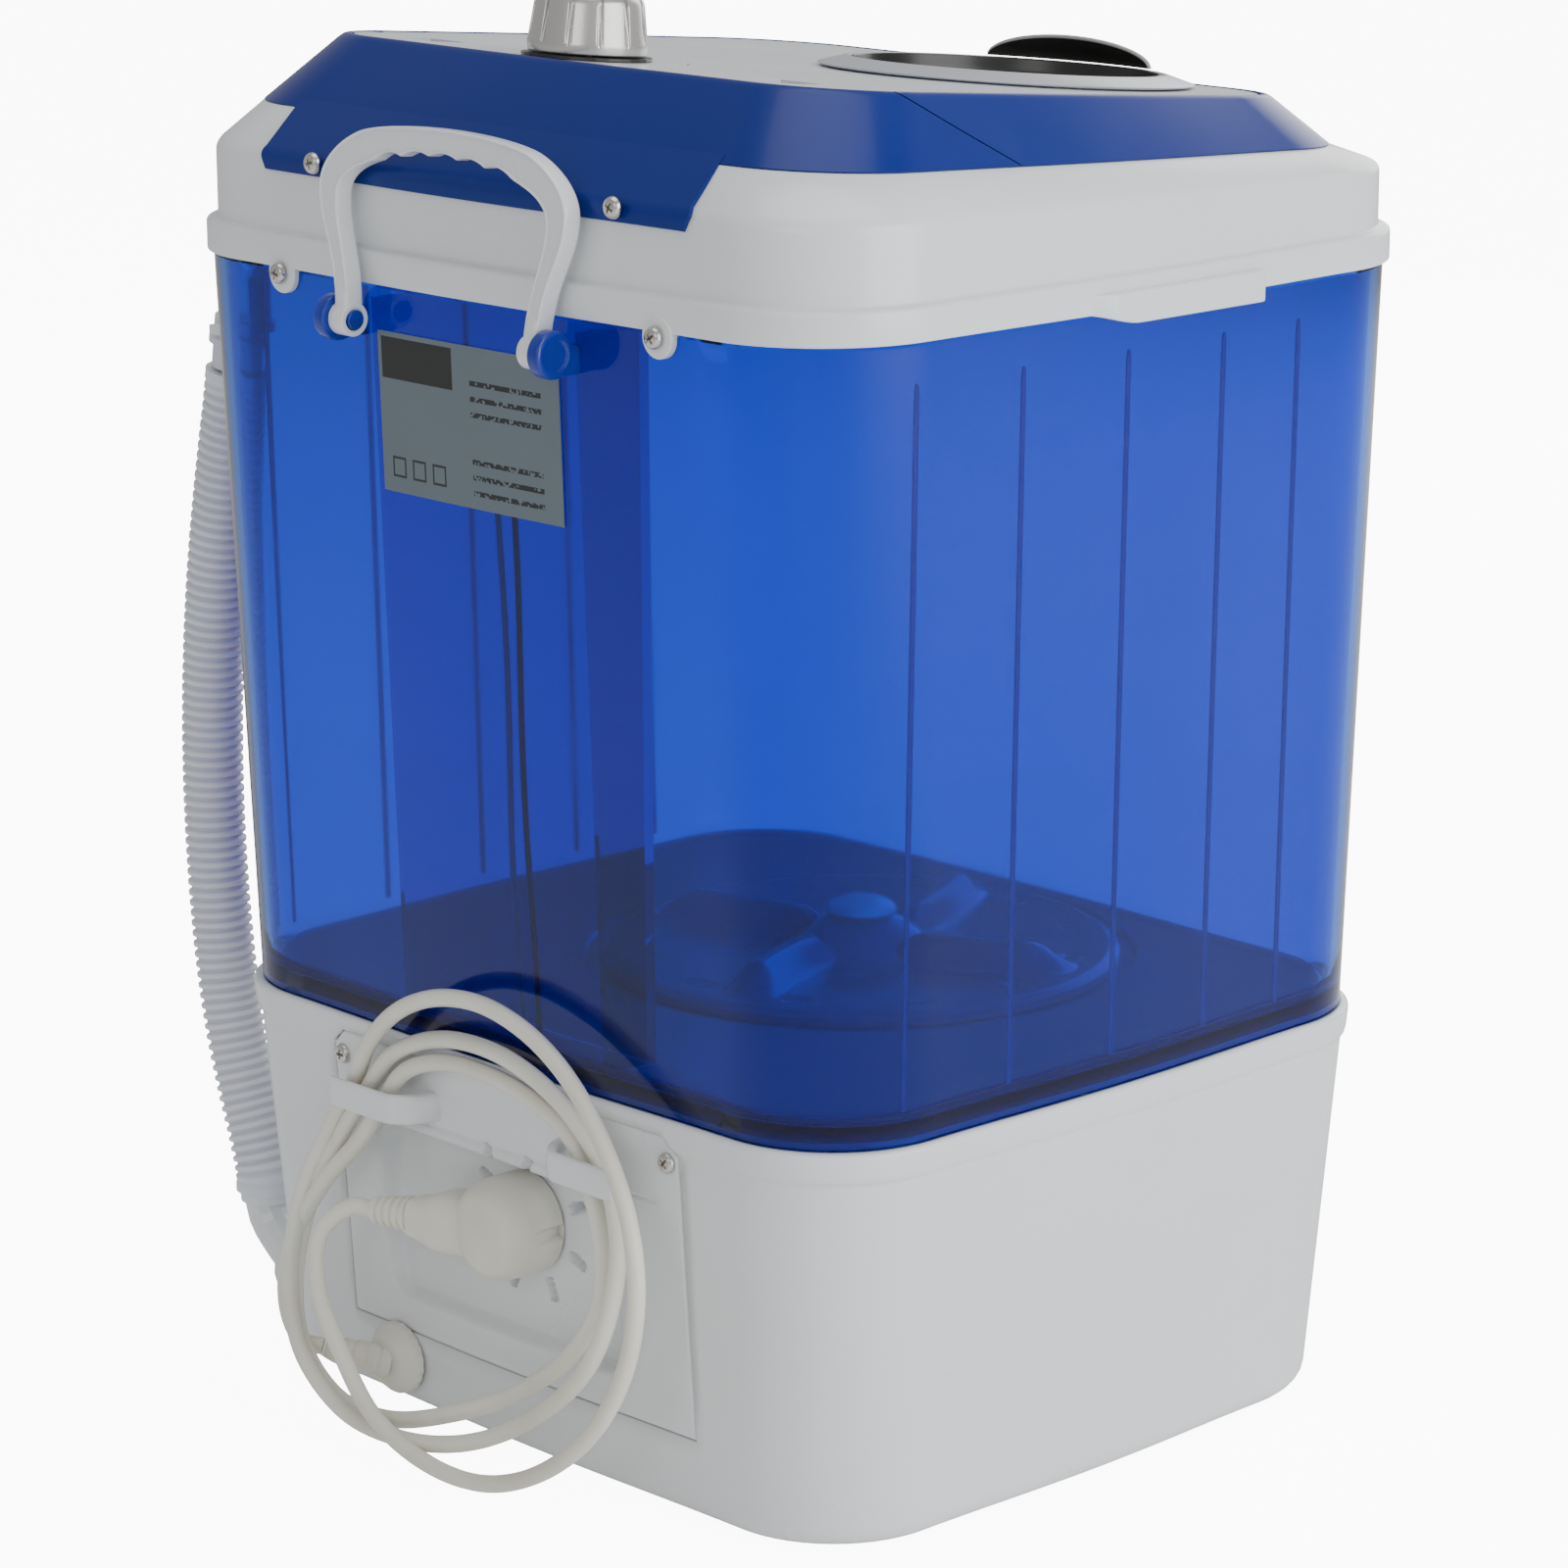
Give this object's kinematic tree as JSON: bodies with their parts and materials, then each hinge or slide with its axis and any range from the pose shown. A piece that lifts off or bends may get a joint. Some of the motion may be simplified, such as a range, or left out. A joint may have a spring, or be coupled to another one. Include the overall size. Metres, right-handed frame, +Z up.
{
  "type": "top load washing machine",
  "caption": "Portable top load washing machine with a clear blue tub, hinged lid, wind-up timer, carrying handle and drain hose.",
  "frame": {"origin": "centre of the underside's bounding box, on the floor", "axes": "+Z up, -Y towards the front, +Y towards the rear with the lead and handle, +X towards the hose"},
  "size_m": [0.4422, 0.3747, 0.5742],
  "materials": {
    "white_plastic": "glossy white ABS with a faint cool tint",
    "blue_plastic": "glossy opaque royal blue ABS",
    "tub_plastic": "clear blue tinted polycarbonate",
    "silver_plastic": "silver painted plastic with a satin lacquer",
    "smoked_plastic": "dark smoked plastic",
    "steel": "zinc plated steel, worn in the drive recess",
    "cream_plastic": "cream PVC of the lead and plug",
    "rubber": "black rubber",
    "painted_metal": "dark grey enamelled metal",
    "label_foil": "matt grey printed foil",
    "hose_plastic": "translucent white corrugated polyethylene",
    "wire_brown": "brown wire insulation",
    "wire_blue": "blue wire insulation"
  },
  "bodies": {
    "cabinet": {"base_housing": "white_plastic", "rear_panel": "white_plastic", "base_plate": "white_plastic", "top_frame": "white_plastic", "console_deck": "white_plastic", "capacitor": "white_plastic", "drain_elbow": "white_plastic", "hose_hook": "white_plastic", "console_cover": "blue_plastic", "outer_tub": "tub_plastic", "duct_cover": "tub_plastic", "dial_plate": "smoked_plastic", "panel_screw_left": "steel", "panel_screw_right": "steel", "rim_screw_left": "steel", "rim_screw_right": "steel", "console_screw_left": "steel", "console_screw_right": "steel", "hinge_pin_left": "steel", "hinge_pin_right": "steel", "plug_pin_upper": "steel", "plug_pin_lower": "steel", "cord_gland": "cream_plastic", "power_cord": "cream_plastic", "plug_body": "cream_plastic", "foot_front_left": "rubber", "foot_front_right": "rubber", "foot_rear_left": "rubber", "foot_rear_right": "rubber", "drive_belt": "rubber", "shaft_seal": "rubber", "timer_body": "painted_metal", "bearing_housing": "painted_metal", "motor": "painted_metal", "motor_bracket": "painted_metal", "rating_plate": "label_foil", "hose_cuff": "hose_plastic", "drain_hose": "hose_plastic", "wire_live": "wire_brown", "wire_neutral": "wire_blue"},
    "lid": {"lid_frame": "blue_plastic", "lid_deck": "white_plastic", "lid_ring": "silver_plastic", "lid_window": "smoked_plastic", "lid_grip": "smoked_plastic"},
    "timer": {"timer_shaft": "steel", "timer_knob": "silver_plastic", "knob_cap": "blue_plastic"},
    "handle": {"rear_handle": "white_plastic"},
    "agitator": {"pulsator": "tub_plastic", "pulsator_cap": "white_plastic", "drive_shaft": "steel", "drive_pulley": "painted_metal"},
    "rotor": {"motor_shaft": "steel", "motor_pulley": "painted_metal"}
  },
  "joints": [
    {"name": "lid_hinge", "type": "hinge", "parent": "cabinet", "child": "lid", "pos_m": [-0.0079, 0.09125, 0.5427], "axis": [-1, 0, 0], "range_deg": [0, 100]},
    {"name": "timer_turn", "type": "hinge", "parent": "cabinet", "child": "timer", "pos_m": [0.0011, 0.08975, 0.54856], "axis": [0, 0.0916, -0.9958], "range_deg": [0, 300]},
    {"name": "handle_swing", "type": "hinge", "parent": "cabinet", "child": "handle", "pos_m": [-0.0079, 0.17175, 0.453], "axis": [-1, 0, 0], "range_deg": [0, 184]},
    {"name": "pulsator_spin", "type": "hinge", "parent": "cabinet", "child": "agitator", "pos_m": [-0.0079, -0.04575, 0.173], "axis": [0, 0, 1], "continuous": true},
    {"name": "motor_spin", "type": "hinge", "parent": "cabinet", "child": "rotor", "pos_m": [0.1001, -0.04575, 0.069], "axis": [0, 0, 1], "continuous": true}
  ],
  "couplings": [
    {"joint": "motor_spin", "follows": "pulsator_spin", "ratio": 4.7143}
  ]
}
